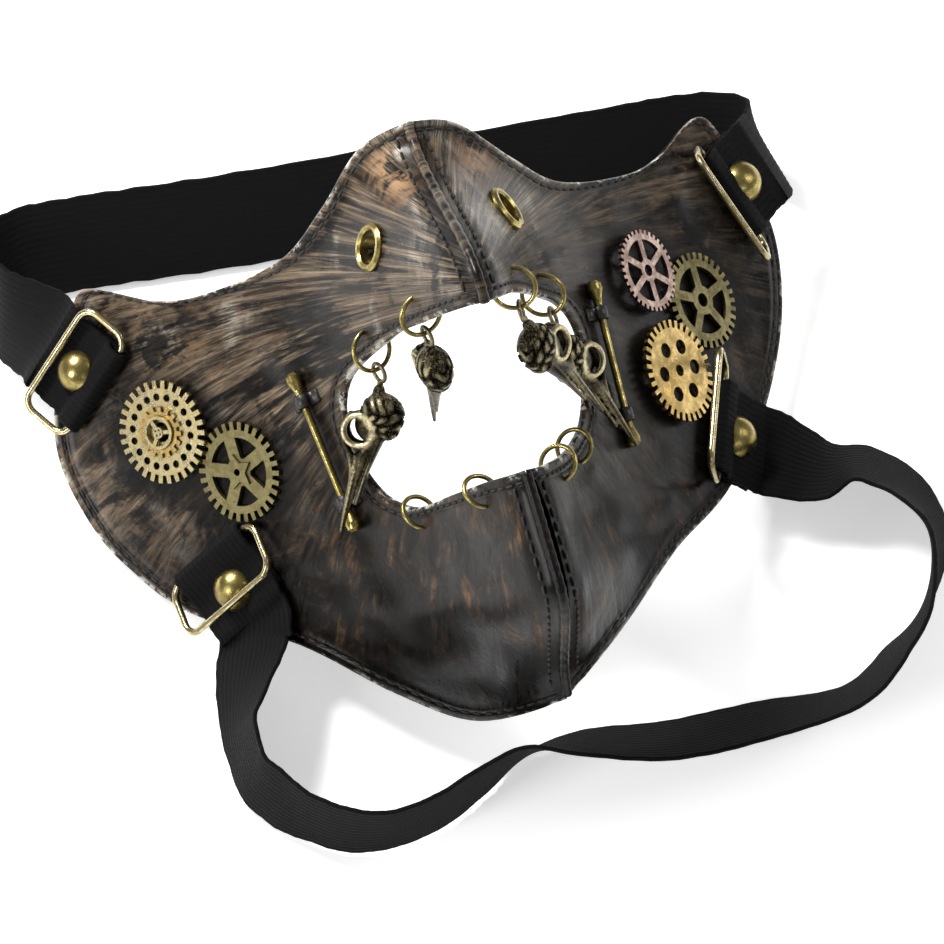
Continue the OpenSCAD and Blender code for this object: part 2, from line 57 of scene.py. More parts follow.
def area(name, loc, to, size, power, col=(1, 1, 1)):
    d = bpy.data.lights.new(name, "AREA")
    d.shape = "RECTANGLE"
    d.size, d.size_y = size
    d.energy = power
    d.color = col
    o = bpy.data.objects.new(name, d)
    o.location = loc
    o.rotation_euler = (Vector(to) - Vector(loc)).to_track_quat("-Z", "Y").to_euler()
    bpy.context.scene.collection.objects.link(o)


area("key", (-0.30, 0.50, 0.70), (0, 0, 0.05), (0.26, 0.16), 11.0)
area("side", (-0.75, -0.25, 0.5), (0, 0, 0.05), (0.22, 0.35), 3.4)
area("fill", (0.7, -0.1, 0.6), (0, 0, 0.05), (0.3, 0.4), 1.9)
area("front", (0.1, -0.8, 0.5), (0, 0, 0.05), (0.5, 0.2), 0.35)
world = bpy.data.worlds.new("studio")
bpy.context.scene.world = world
world.use_nodes = True
world.node_tree.nodes["Background"].inputs[0].default_value = (1, 1, 1, 1)
world.node_tree.nodes["Background"].inputs[1].default_value = 0.24


# ---------------------------------------------------------------- materials
def new_mat(name):
    m = bpy.data.materials.new(name)
    m.use_nodes = True
    nt = m.node_tree
    b = nt.nodes["Principled BSDF"]
    return m, nt, b


class N:
    """small helper that adds nodes and links to one material"""

    def __init__(self, nt):
        self.nt = nt

    def node(self, kind, **kw):
        n = self.nt.nodes.new(kind)
        for k, v in kw.items():
            setattr(n, k, v)
        return n

    def put(self, sock, v):
        if hasattr(v, "is_output"):
            self.nt.links.new(v, sock)
        elif isinstance(v, (tuple, list)) and len(v) == 3 and sock.type == "RGBA":
            sock.default_value = (*v, 1)
        else:
            sock.default_value = v

    def attr(self, name, vec=False):
        n = self.node("ShaderNodeAttribute", attribute_name=name)
        return n.outputs["Vector" if vec else "Fac"]

    def noise(self, vec, scale, detail=4.0, rough=0.6, dist=0.0):
        n = self.node("ShaderNodeTexNoise")
        self.put(n.inputs["Vector"], vec)
        n.inputs["Scale"].default_value = scale
        n.inputs["Detail"].default_value = detail
        n.inputs["Roughness"].default_value = rough
        n.inputs["Distortion"].default_value = dist
        return n.outputs["Fac"]

    def voronoi(self, vec, scale, feature="F1"):
        n = self.node("ShaderNodeTexVoronoi", feature=feature)
        self.put(n.inputs["Vector"], vec)
        n.inputs["Scale"].default_value = scale
        return n.outputs["Distance"]

    def math(self, op, a, b=0.0, clamp=False):
        n = self.node("ShaderNodeMath", operation=op, use_clamp=clamp)
        self.put(n.inputs[0], a)
        self.put(n.inputs[1], b)
        return n.outputs[0]

    def ramp(self, f, lo, hi, a=0.0, b=1.0):
        n = self.node("ShaderNodeMapRange", interpolation_type="SMOOTHSTEP")
        self.put(n.inputs["Value"], f)
        n.inputs["From Min"].default_value = lo
        n.inputs["From Max"].default_value = hi
        n.inputs["To Min"].default_value = a
        n.inputs["To Max"].default_value = b
        return n.outputs["Result"]

    def mix(self, f, a, b):
        n = self.node("ShaderNodeMix", data_type="RGBA")
        self.put(n.inputs[0], f)
        self.put(n.inputs[6], a)
        self.put(n.inputs[7], b)
        return n.outputs[2]

    def scale(self, vec, s):
        n = self.node("ShaderNodeVectorMath", operation="MULTIPLY")
        self.put(n.inputs[0], vec)
        n.inputs[1].default_value = s
        return n.outputs[0]

    def bump(self, h, strength, dist, normal=None):
        n = self.node("ShaderNodeBump")
        n.inputs["Strength"].default_value = strength
        n.inputs["Distance"].default_value = dist
        self.put(n.inputs["Height"], h)
        if normal is not None:
            self.nt.links.new(normal, n.inputs["Normal"])
        return n.outputs[0]

    def pos(self):
        return self.node("ShaderNodeTexCoord").outputs["Object"]


def leather_material(name, worn=1.0):
    """black leather brushed with tan and pewter, painted shadow round the fittings, painted shade towards the
    chin and right cheek, worn pale at the edges
    """
    m, nt, b = new_mat(name)
    n = N(nt)
    p = n.pos()
    stroke, riv = n.attr("stroke", True), n.attr("riv", True)
    hem, painted_light_level, near = n.attr("hem"), n.attr("painted_light_level"), n.attr("near")
    fine = n.noise(n.scale(stroke, (24, 1.5, 1)), 1.0, 6, 0.70, 0.9)
    broad = n.noise(n.scale(stroke, (5.5, 1.0, 1)), 1.0, 6, 0.66, 1.1)
    patch = n.noise(p, 46, 5, 0.62, 0.5)
    speck = n.noise(p, 420, 4, 0.7, 0.3)
    rays = n.noise(n.scale(riv, (1.0, 1.0, 30.0)), 5.5, 5, 0.7, 0.4)
    brush = n.math("MULTIPLY", n.ramp(fine, 0.38, 0.72), n.ramp(broad, 0.38, 0.64))
    # the tan streaks, and the pewter below, fade where the painted light level is low
    streak = n.math("MULTIPLY", brush, painted_light_level, True)
    low = n.math("SUBTRACT", 1.0, painted_light_level, True)
    dark = (0.0028, 0.0023, 0.0020)
    c = n.mix(n.ramp(patch, 0.40, 0.68), dark, (0.0125, 0.0078, 0.0046))
    c = n.mix(n.math("MULTIPLY", n.ramp(broad, 0.38, 0.68), painted_light_level, True), c, (0.050, 0.035, 0.023))
    c = n.mix(n.math("MULTIPLY", streak, 0.9), c, (0.30, 0.222, 0.145))
    pewter = n.math("MULTIPLY", n.ramp(n.noise(p, 38, 5, 0.6, 1.2), 0.50, 0.68), n.ramp(fine, 0.42, 0.62))
    pewter = n.math("MULTIPLY", pewter, n.math("MULTIPLY", painted_light_level, painted_light_level), True)
    c = n.mix(pewter, c, (0.34, 0.305, 0.25))
    nt.links.new(n.math("MULTIPLY", pewter, 0.6), b.inputs["Metallic"])
    c = n.mix(n.math("MULTIPLY", n.ramp(rays, 0.5, 0.72), near, True), c, (0.17, 0.105, 0.058))
    rust = n.math("MULTIPLY", n.ramp(n.noise(p, 95, 6, 0.75, 1.0), 0.56, 0.68), n.ramp(speck, 0.42, 0.58))
    c = n.mix(n.math("MULTIPLY", rust, 0.75), c, (0.115, 0.052, 0.020))
    fleck = n.math("MULTIPLY", n.ramp(speck, 0.60, 0.70), n.ramp(patch, 0.5, 0.64))
    c = n.mix(n.math("MULTIPLY", fleck, 0.8 * worn), c, (0.25, 0.15, 0.075))
    against = n.math("MULTIPLY", n.math("SUBTRACT", broad, 0.5), -0.55)
    blot = n.math("ADD", n.noise(p, 27, 5, 0.66, 1.2), against)
    c = n.mix(n.ramp(blot, 0.50, 0.60, 0.0, 0.93), c, dark)
    bare = n.math("MULTIPLY", n.attr("bare"), n.ramp(n.noise(p, 130, 5, 0.7, 0.6), 0.44, 0.58), True)
    c = n.mix(bare, c, (0.42, 0.25, 0.13))
    # painted shade: darker towards the chin and the right cheek
    c = n.mix(n.math("MULTIPLY", low, 0.88), c, dark)
    drip = n.math("MULTIPLY", n.math("MULTIPLY", brush, low), n.ramp(n.noise(p, 52, 5, 0.7, 0.8), 0.47, 0.62))
    c = n.mix(n.math("MULTIPLY", drip, 0.9, True), c, (0.16, 0.085, 0.040))
    # painted shade: near black round the gears, rivets, pins, stitch lines and middle seam
    painted_shade = n.attr("painted_shade")
    c = n.mix(n.math("MULTIPLY", painted_shade, 0.92), c, (0.0022, 0.0019, 0.0017))
    worn_spots = n.ramp(n.noise(p, 150, 5, 0.75), 0.49, 0.58)
    wear = n.math("MULTIPLY", n.ramp(hem, 0.25, 1.7, 1.0, 0.0), worn_spots, True)
    c = n.mix(n.math("MULTIPLY", wear, worn), c, (0.58, 0.545, 0.48))
    nt.links.new(c, b.inputs["Base Color"])
    grain = n.voronoi(p, 900)
    h = n.math("ADD", n.math("MULTIPLY", grain, 0.35), n.math("MULTIPLY", n.noise(p, 260, 6, 0.7), 1.2))
    wrinkle = n.noise(n.scale(stroke, (9, 2.5, 1)), 1.0, 5, 0.6, 1.6)
    nb = n.bump(wrinkle, 0.30, 0.0007)
    nb = n.bump(h, 0.20, 0.0003, nb)
    nt.links.new(nb, b.inputs["Normal"])
    nt.links.new(n.ramp(n.math("ADD", fine, patch), 0.75, 1.3, 0.24, 0.55), b.inputs["Roughness"])
    b.inputs["Specular IOR Level"].default_value = 0.13
    b.inputs["Coat Weight"].default_value = 0.12
    b.inputs["Coat Roughness"].default_value = 0.20
    return m


def metal_material(name, bright, dull, rough=(0.24, 0.5), scale=300, dirt=(0.035, 0.03, 0.012), keep=0.5):
    m, nt, b = new_mat(name)
    n = N(nt)
    p = n.pos()
    a = n.noise(p, scale, 5, 0.65, 0.4)
    f = n.noise(p, scale * 5, 3, 0.6)
    c = n.mix(n.ramp(a, 0.36, 0.66), dull, bright)
    c = n.mix(n.ramp(f, 0.58, 0.78, 0.0, 0.5), c, dirt)
    ao = n.node("ShaderNodeAmbientOcclusion", samples=6)
    ao.inputs["Distance"].default_value = 0.0016
    c = n.mix(n.ramp(ao.outputs["AO"], 0.35, 0.9, keep, 1.0), dirt, c)
    nt.links.new(c, b.inputs["Base Color"])
    b.inputs["Metallic"].default_value = 1.0
    nt.links.new(n.ramp(a, 0.3, 0.7, rough[1], rough[0]), b.inputs["Roughness"])
    nt.links.new(n.bump(n.math("ADD", a, f), 0.18, 0.00025), b.inputs["Normal"])
    return m


def elastic_material():
    m, nt, b = new_mat("elastic")
    n = N(nt)
    uv = n.attr("lane", True)
    sep = n.node("ShaderNodeSeparateXYZ")
    nt.links.new(uv, sep.inputs[0])
    along, across = sep.outputs[0], sep.outputs[1]
    weft = n.math("SINE", n.math("MULTIPLY", along, 7.5))
    knit = n.math("MULTIPLY", weft, n.math("SINE", n.math("MULTIPLY", across, 15.0)))
    fuzz = n.noise(uv, 3.5, 5, 0.7)
    c = n.mix(n.ramp(knit, -0.6, 0.9), (0.0010, 0.0010, 0.0012), (0.0045, 0.0045, 0.0050))
    c = n.mix(n.ramp(fuzz, 0.5, 0.75, 0.0, 0.5), c, (0.0090, 0.0090, 0.0100))
    nt.links.new(c, b.inputs["Base Color"])
    b.inputs["Roughness"].default_value = 0.75
    b.inputs["Sheen Weight"].default_value = 0.012
    b.inputs["Sheen Roughness"].default_value = 0.5
    b.inputs["Specular IOR Level"].default_value = 0.10
    nt.links.new(n.bump(n.math("ADD", knit, fuzz), 0.5, 0.0002), b.inputs["Normal"])
    return m


def plain_fabric(name, c0, c1, scale=700, rough=0.8):
    m, nt, b = new_mat(name)
    n = N(nt)
    p = n.pos()
    f = n.noise(p, scale, 5, 0.7)
    w = n.noise(p, scale * 4, 3, 0.6)
    nt.links.new(n.mix(n.ramp(f, 0.35, 0.65), c0, c1), b.inputs["Base Color"])
    b.inputs["Roughness"].default_value = rough
    b.inputs["Specular IOR Level"].default_value = 0.3
    nt.links.new(n.bump(n.math("ADD", f, w), 0.5, 0.00025), b.inputs["Normal"])
    return m


M_LEATHER = leather_material("leather")
M_BRASS = metal_material("antique_brass", (0.46, 0.37, 0.13), (0.20, 0.155, 0.05), (0.20, 0.42))
M_PALE = metal_material("pale_gold", (0.72, 0.62, 0.36), (0.42, 0.34, 0.16), (0.22, 0.42),
                        dirt=(0.06, 0.045, 0.018))
M_WIRE = metal_material("pale_wire", (0.62, 0.54, 0.33), (0.33, 0.27, 0.13), (0.16, 0.34))
M_GOLD = metal_material("gold", (0.70, 0.50, 0.20), (0.40, 0.28, 0.10), (0.22, 0.42), dirt=(0.05, 0.03, 0.01))
M_OLIVE = metal_material("olive_bronze", (0.36, 0.31, 0.15), (0.16, 0.135, 0.06), (0.26, 0.5))
M_COPPER = metal_material("copper", (0.58, 0.44, 0.38), (0.30, 0.20, 0.165), (0.2, 0.4),
                          dirt=(0.05, 0.03, 0.025))
M_ELASTIC = elastic_material()
M_LINING = plain_fabric("lining", (0.006, 0.006, 0.006), (0.016, 0.016, 0.016))
M_THREAD = plain_fabric("thread", (0.012, 0.010, 0.009), (0.034, 0.029, 0.025), 2500, 0.55)


def band_leather():
    m, nt, b = new_mat("band_leather")
    n = N(nt)
    p = n.pos()
    f = n.noise(p, 500, 5, 0.7)
    c = n.mix(n.ramp(f, 0.4, 0.7), (0.006, 0.005, 0.005), (0.03, 0.024, 0.02))
    nt.links.new(c, b.inputs["Base Color"])
    b.inputs["Roughness"].default_value = 0.38
    nt.links.new(n.bump(f, 0.3, 0.0003), b.inputs["Normal"])
    return m


M_BAND = band_leather()


def skull_material():
    m, nt, b = new_mat("dark_bronze")
    n = N(nt)
    loc = n.attr("loc", True)
    ridge = n.attr("ridge")
    w = n.noise(loc, 0.55, 4, 0.6, 2.2)
    line = n.math("ABSOLUTE", n.math("SUBTRACT", w, 0.5))
    lines = n.math("MULTIPLY", n.ramp(line, 0.008, 0.03, 0.55, 0.0), n.attr("dome"), True)
    a = n.noise(loc, 1.2, 5, 0.7)
    c = n.mix(n.ramp(a, 0.4, 0.7), (0.013, 0.011, 0.006), (0.055, 0.045, 0.024))
    rubbed = n.math("MULTIPLY", ridge, n.ramp(a, 0.25, 0.55))
    lift = n.math("MAXIMUM", rubbed, n.math("MULTIPLY", lines, 0.85), True)
    c = n.mix(lift, c, (0.66, 0.57, 0.34))
    c = n.mix(n.attr("groove"), c, (0.006, 0.005, 0.003))
    ao = n.node("ShaderNodeAmbientOcclusion", samples=6)
    ao.inputs["Distance"].default_value = 0.003
    c = n.mix(n.ramp(ao.outputs["AO"], 0.25, 0.85, 0.25, 1.0), (0.01, 0.009, 0.006), c)
    nt.links.new(c, b.inputs["Base Color"])
    b.inputs["Metallic"].default_value = 1.0
    nt.links.new(n.ramp(a, 0.3, 0.7, 0.42, 0.24), b.inputs["Roughness"])
    nb = n.bump(n.math("ADD", lines, n.math("MULTIPLY", a, 0.5)), 0.7, 0.0004)
    nt.links.new(nb, b.inputs["Normal"])
    return m


M_SKULL = skull_material()


# ---------------------------------------------------------------- the face surface, in the mask frame, mm
RECLINE, SX, SY, LIFT = math.radians(58), -1.7, -39.2, 96.35
SR, CR = math.sin(RECLINE), math.cos(RECLINE)


def ease(a, b, v):
    """a smooth step from 0 at a to 1 at b"""
    t = np.clip((v - a) / (b - a), 0, 1)
    return t * t * (3 - 2 * t)


def face_y(x, z):
    x, z = np.asarray(x, float), np.asarray(z, float)
    stand = 28 * ease(-66, -38, z) * (1 - ease(38, 68, z)) + 15 * np.exp(-((z - 31) / 13) ** 2)
    return (22 + 0.1 * z + 1.05 * (np.sqrt(x * x + 36) - 6) - 0.004 * np.maximum(0, np.abs(x) - 40) ** 2
            + 0.018 * np.maximum(0, -40 - z) ** 2 - stand * np.exp(-(x / 18) ** 2))


def slopes(x, z):
    return ((face_y(x + 0.3, z) - face_y(x - 0.3, z)) / 0.6, (face_y(x, z + 0.3) - face_y(x, z - 0.3)) / 0.6)


def unit(v):
    v = np.asarray(v, float)
    return v / np.linalg.norm(v, axis=-1, keepdims=True)


def face(x, z):
    return np.stack([np.asarray(x, float), face_y(x, z), np.asarray(z, float)], -1)


def out(x, z):
    a, b = slopes(x, z)
    return unit(np.stack([a, -np.ones_like(a), b], -1))


def over(x, z, h):
    h = np.asarray(h, float)
    return face(x, z) + h[..., None] * out(x, z)


def along(x, z, d):
    a, b = slopes(x, z)
    return unit(np.array([d[0], a * d[0] + b * d[1], d[1]]))


def row(p):
    p = np.asarray(p, float)
    y, z = p[..., 1], p[..., 2]
    return np.stack([p[..., 0] + SX, y * CR + z * SR + SY, -y * SR + z * CR + LIFT], -1)


def row_dir(p):
    p = np.asarray(p, float)
    y, z = p[..., 1], p[..., 2]
    return np.stack([p[..., 0], y * CR + z * SR, -y * SR + z * CR], -1)


def spline(p, t):
    p = np.asarray(p, float)
    n = len(p) - 1
    i = np.clip(np.floor(t).astype(int), 0, n - 1)
    u = (t - i)[:, None]
    a, b, c, d = p[np.maximum(i - 1, 0)], p[i], p[i + 1], p[np.minimum(i + 2, n)]
    return b + 0.5 * u * ((c - a) + u * ((2 * a - 5 * b + 4 * c - d) + u * (3 * (b - c) + d - a)))


TOP = [(0.2, 71), (12, 68), (24, 56.5), (36, 47.5), (56, 44.5), (69, 47), (82, 53.5), (88, 46)]
LEFT_EDGE = TOP + [(97, 28), (100, 13), (97, -4), (91, -17), (79, -32), (56, -45), (37, -62),
                   (20, -73), (0.2, -71)]
RIGHT_EDGE = TOP + [(94, 27), (94, 12), (88, -6), (75, -25), (58, -39), (38, -47), (19, -58), (0.2, -70)]
LEFT_MOUTH = [(0.2, 27), (4, 27), (8, 26.5), (12, 25.5), (16, 24.5), (20, 22), (24, 19.5), (28, 16),
              (30.5, 11), (31.5, 5), (31, -2), (30, -8), (27, -14), (22, -17), (15, -15), (8, -13),
              (0.2, -12)]
RIGHT_MOUTH = [(0.2, 27), (4, 27), (8, 27), (12, 26), (16, 24.5), (20, 22.5), (24, 20), (27, 16),
               (28, 11), (27, 5), (25.5, 0), (24, -4), (21, -8.5), (17, -11), (12, -12.5), (6, -12.5),
               (0.2, -12)]
EYES = [(-16.5, 45), (16.5, 45)]
RIVETS = [(-88, 34), (88, 34), (-66, -28), (64, -27)]
SIDES = [(-0.75, -0.66), (-0.36, 0.93), (0.88, 0.48), (0.44, 0.9)]
ROLL_AT = [7, 7, 10, 7]
ROLL_H = 2.75
GEARS = [(-71.5, 14, 13), (-57.2, 0, 12.5), (51, 20, 10.5), (66, 8.5, 12.5), (51.5, -6, 13)]
PINS = [((-39, 20.5), (-35, -20)), ((35, 21.5), (33, -18.5))]
BODY = "mask"
KNOTS = 16            # spans in each mouth and edge outline
STITCH_IN = 2.5       # distance of the stitch line from a leather edge
SEAM_X = 3.4          # distance of the seam stitches from the middle
PITCH = 3.3           # stitch length with its gap
LEATHER_BACK = -1.4   # height of the leather's rear face
LINING_TOP, LINING_BACK = -1.47, -1.98
LINING_COLS = 34
EYE_HOLE = 4.9        # radius of the leather's hole at an eyelet
STRAP_W, STRAP_T, RIBS = 25.0, 1.2, 15
RIB_H = 0.14


# ---------------------------------------------------------------- mesh helpers
def make(name, verts_mm, faces, mat, smooth=True, attrs=None):
    me = bpy.data.meshes.new(name)
    me.from_pydata([tuple(v) for v in np.asarray(verts_mm) * MM], [], [tuple(f) for f in faces])
    me.validate()
    if smooth:
        me.polygons.foreach_set("use_smooth", [True] * len(me.polygons))
    for k, v in (attrs or {}).items():
        v = np.asarray(v, float)
        if v.ndim == 1:
            me.attributes.new(k, "FLOAT", "POINT").data.foreach_set("value", v)
        else:
            me.attributes.new(k, "FLOAT_VECTOR", "POINT").data.foreach_set("vector", v.ravel())
    me.materials.append(mat)
    o = bpy.data.objects.new(name, me)
    bpy.context.scene.collection.objects.link(o)
    me.update()
    return o


def grid_faces(nu, nv, base=0, flip=False, wrap_u=False, wrap_v=False):
    f = []
    for i in range(nu if wrap_u else nu - 1):
        for j in range(nv if wrap_v else nv - 1):
            a, b = base + i * nv + j, base + ((i + 1) % nu) * nv + j
            c, d = base + ((i + 1) % nu) * nv + (j + 1) % nv, base + i * nv + (j + 1) % nv
            f.append((a, d, c, b) if flip else (a, b, c, d))
    return f


def tube(points, normals, radius, k=12, closed=False):
    """a swept round strand; radius may vary from point to point"""
    P, Nn = np.asarray(points, float), np.asarray(normals, float)
    n = len(P)
    R = np.broadcast_to(np.asarray(radius, float), (n,))
    if closed:
        T = unit(np.roll(P, -1, 0) - np.roll(P, 1, 0))
    else:
        T = unit(np.gradient(P, axis=0))
    O = unit(Nn - (Nn * T).sum(1, keepdims=True) * T)
    C = np.cross(T, O)
    a = np.linspace(0, 2 * math.pi, k, endpoint=False)
    spoke = np.cos(a)[None, :, None] * O[:, None] + np.sin(a)[None, :, None] * C[:, None]
    V = P[:, None] + R[:, None, None] * spoke
    f = grid_faces(n, k, wrap_u=closed, wrap_v=True)
    if not closed:
        f += [tuple(range(k)), tuple(range((n - 1) * k + k - 1, (n - 1) * k - 1, -1))]
    return V.reshape(-1, 3), f


def merge(parts):
    V, F, base = [], [], 0
    for v, f in parts:
        V.append(v)
        F += [tuple(i + base for i in q) for q in f]
        base += len(v)
    return np.concatenate(V), F


# ---------------------------------------------------------------- leather
def near_attrs(x, z, hem):
    """what the leather material reads: brush direction, rivet rays, edge distance, painted light level for
    the chin and right cheek, painted shade round the fittings and seams, bare spots
    """
    pts = np.stack([x, z], -1)
    d = np.stack([np.hypot(pts[:, 0] - r[0], pts[:, 1] - r[1]) for r in RIVETS])
    k = d.argmin(0)
    c = np.array(RIVETS, float)[k]
    dv = pts - c
    r = d.min(0)
    a = np.arctan2(dv[:, 1], dv[:, 0])
    riv = np.stack([np.cos(a), np.sin(a), r * 0.0012], -1)
    near = 1 - ease(16, 40, r)
    # painted shade: a painted shadow cast by each gear, offset to one side, and painted shade round the
    # rivets, along the pins, in the sunk stitch line and beside the middle seam
    painted_shade = np.zeros(len(x))
    for g in GEARS:
        painted_shade = np.maximum(painted_shade, 1 - ease(g[2] - 1, g[2] + 6, np.hypot(x - g[0] + 1, z - g[1] + 1.5)))
    painted_shade = np.maximum(painted_shade, 0.8 * (1 - ease(8, 20, r)))
    for p in PINS:
        t = np.clip((z - p[1][1]) / (p[0][1] - p[1][1]), 0, 1)
        px = p[1][0] + t * (p[0][0] - p[1][0])
        dz = np.maximum(0, np.maximum(z - p[0][1], p[1][1] - z))
        painted_shade = np.maximum(painted_shade, 0.8 * (1 - ease(1.5, 5, np.hypot(x - px, dz))))
    painted_shade = np.maximum(painted_shade, 0.7 * (1 - ease(2.4, 4.6, np.abs(hem - STITCH_IN) * 2.2 + 1.6)))
    painted_shade = np.maximum(painted_shade, 0.75 * (1 - ease(0.8, 2.6, np.abs(np.abs(x) - 1.9))))
    ang = np.arctan2(z - 30, np.abs(x) + 6) * 1.0
    rad = np.hypot(x, z - 30)
    stroke = np.stack([ang * 2.2 + np.sign(x) * 7 + 0.006 * rad, rad * 0.045, x * 0.0], -1)
    # painted shade: near black at the chin and darker on the right cheek
    right = 0.6 * ease(-10, 60, x) * (1 - ease(25, 45, z))
    painted_light_level = 0.06 + 0.94 * ease(-30, 18, z + 0.12 * np.abs(x)) * (1 - right)
    # bare tan leather at the nose
    bare = np.exp(-((x + 6) / 4.5) ** 2 - ((z - 61) / 6.5) ** 2)
    bare = bare + 0.5 * np.exp(-((x - 14) / 5) ** 2 - ((z - 58) / 5) ** 2)
    return dict(stroke=stroke, riv=riv, hem=hem, painted_light_level=painted_light_level, near=near, painted_shade=painted_shade, bare=bare)


COLS = 9              # mesh rows per outline span
EYE3 = [face(np.float64(e[0]), np.float64(e[1])) for e in EYES]
NEAR = np.array([0, 0.1, 0.25, 0.5, 0.85, 1.25, 1.65, 1.95, 2.25, 2.5, 2.75, 3.05, 3.45, 4.2, 5.2])


def half(name, mouth, edge, s, node):
    """one leather half between the mouth and the outline, and its lining; s is the side, -1 or 1"""
    t = np.linspace(0, KNOTS, KNOTS * COLS + 1)
    a, b = spline(mouth, t), spline(edge, t)
    w = np.linalg.norm(b - a, axis=1)
    mid = np.linspace(0, 1, 36)[1:-1]
    rows = []
    for k in range(len(t)):
        lo = NEAR / w[k]
        rows.append(np.concatenate([lo, lo[-1] + mid * (1 - 2 * lo[-1]), (1 - lo)[::-1]]))
    v = np.array(rows)
    nv = v.shape[1]
    q = a[:, None] * (1 - v[..., None]) + b[:, None] * v[..., None]
    x, z = s * q[..., 0], q[..., 1]
    hem = np.minimum(v, 1 - v) * w[:, None]
    u_mm = np.concatenate([[0], np.cumsum(np.linalg.norm(np.diff(b, axis=0), axis=1))])
    pucker = 0.07 * np.sin(u_mm * 2 * math.pi / PITCH)[:, None] * np.exp(-((hem - STITCH_IN) / 0.9) ** 2)
    roundness = 0.85 * (1 - np.sqrt(np.clip(1 - (1 - np.minimum(hem / 0.85, 1)) ** 2, 0, 1)))
    # folded hem, sunk stitch line, then the raised fold and sunk stitches beside the middle seam
    h = 0.42 * (1 - ease(3.0, 3.9, hem)) - 0.34 * np.exp(-((hem - STITCH_IN) / 0.38) ** 2)
    h = h - roundness + pucker
    h = h + 0.3 * np.exp(-((np.abs(x) - 5.2) / 1.2) ** 2) * ease(3, 6, hem)
    h = h - 0.25 * np.exp(-((np.abs(x) - SEAM_X) / 0.5) ** 2)
    ripple = (0.35 * np.sin(0.23 * x + 0.31 * z) * np.sin(0.11 * x - 0.19 * z + 1.3)
              + 0.22 * np.sin(0.47 * x - 0.13 * z + 2.0) * np.sin(0.29 * z + 0.2 * x))
    far = np.ones_like(x)
    for g in GEARS:
        far *= ease(g[2], g[2] + 6, np.hypot(x - g[0], z - g[1]))
    for r in RIVETS:
        far *= ease(9, 18, np.hypot(x - r[0], z - r[1]))
    for e in EYES:
        far *= ease(6, 12, np.hypot(x - e[0], z - e[1]))
    h = h + ripple * ease(4, 12, hem) * far * ease(6, 12, np.abs(x))
    back = LEATHER_BACK + 0.5 * (1 - np.sqrt(np.clip(1 - (1 - np.minimum(hem / 0.5, 1)) ** 2, 0, 1)))
    F = over(x.ravel(), z.ravel(), h.ravel())
    B = over(x.ravel(), z.ravel(), back.ravel())
    nu, n0 = len(t), len(t) * nv
    flip = s < 0
    fr = grid_faces(nu, nv, 0, flip)
    bk = grid_faces(nu, nv, n0, not flip)
    cx, cz = x.ravel(), z.ravel()

    def hole(f):
        i = [k % n0 for k in f]
        mx, mz = cx[i].mean(), cz[i].mean()
        return any(np.linalg.norm(face(mx, mz) - e) < EYE_HOLE for e in EYE3)
    fr = [f for f in fr if not hole(f)]
    bk = [f for f in bk if not hole(f)]
    rim = []
    for i in range(nu - 1):
        for j in (0, nv - 1):
            p0, p1 = i * nv + j, (i + 1) * nv + j
            rim.append((p0, p0 + n0, p1 + n0, p1) if (j == 0) != flip else (p1, p1 + n0, p0 + n0, p0))
    at = near_attrs(cx, cz, hem.ravel())
    at = {k: np.concatenate([val, val]) for k, val in at.items()}
    o = make(name, row(np.concatenate([F, B])), fr + bk + rim, M_LEATHER, True, at)
    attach(o, BODY)
    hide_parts(node)
    # the lining, a thin dark sheet just behind
    v2 = np.linspace(0.02, 0.98, LINING_COLS)
    q = a[::3, None] * (1 - v2[None, :, None]) + b[::3, None] * v2[None, :, None]
    x2, z2 = (s * q[..., 0]).ravel(), q[..., 1].ravel()
    f1 = over(x2, z2, np.full(len(x2), LINING_TOP))
    f2 = over(x2, z2, np.full(len(x2), LINING_BACK))
    m = len(a[::3])
    n1 = m * LINING_COLS
    fa = grid_faces(m, LINING_COLS, 0, flip)
    fb = grid_faces(m, LINING_COLS, n1, not flip)

    def hole2(f):
        i = [k % n1 for k in f]
        return any(np.linalg.norm(face(x2[i].mean(), z2[i].mean()) - e) < EYE_HOLE for e in EYE3)
    side = []
    for i in range(m - 1):
        for j in (0, LINING_COLS - 1):
            p0, p1 = i * LINING_COLS + j, (i + 1) * LINING_COLS + j
            side.append((p0, p0 + n1, p1 + n1, p1) if (j == 0) != flip else (p1, p1 + n1, p0 + n1, p0))
    lo = make(name.replace("hide", "backing"), row(np.concatenate([f1, f2])),
              [f for f in fa + fb if not hole2(f)] + side, M_LINING)
    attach(lo, BODY)
    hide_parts(node.replace("leather", "lining"))


half("hide_left", LEFT_MOUTH, LEFT_EDGE, -1, "leather_left")
half("hide_right", RIGHT_MOUTH, RIGHT_EDGE, 1, "leather_right")


def piping(name, z0, z1, node):
    """the raised cord seam down the middle, slightly beaded"""
    z = np.linspace(z0, z1, 120)
    x = np.zeros_like(z)
    r = 1.2 + 0.06 * np.sin((z - z0) * 2 * math.pi / 2.6)
    V, F = tube(over(x, z, np.full(len(z), 0.5)), out(x, z), r, 20)
    k = np.repeat(z, 20)
    none = np.zeros(len(V))
    # painted light level: the seam cord darkens towards the chin, like the painted shade on the halves
    at = dict(stroke=np.stack([k * 0.05, k * 0.0 + 0.3, k * 0], -1), riv=np.zeros((len(V), 3)),
              hem=np.full(len(V), 9.0), painted_light_level=np.clip(0.2 + k * 0.012, 0, 1), near=none, painted_shade=none, bare=none)
    o = make(name, row(V), F, M_LEATHER, True, at)
    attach(o, BODY)
    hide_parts(node)


piping("welt_nose", 27.5, 70.5, "nose_piping")
piping("welt_chin", -69, -12.5, "chin_piping")


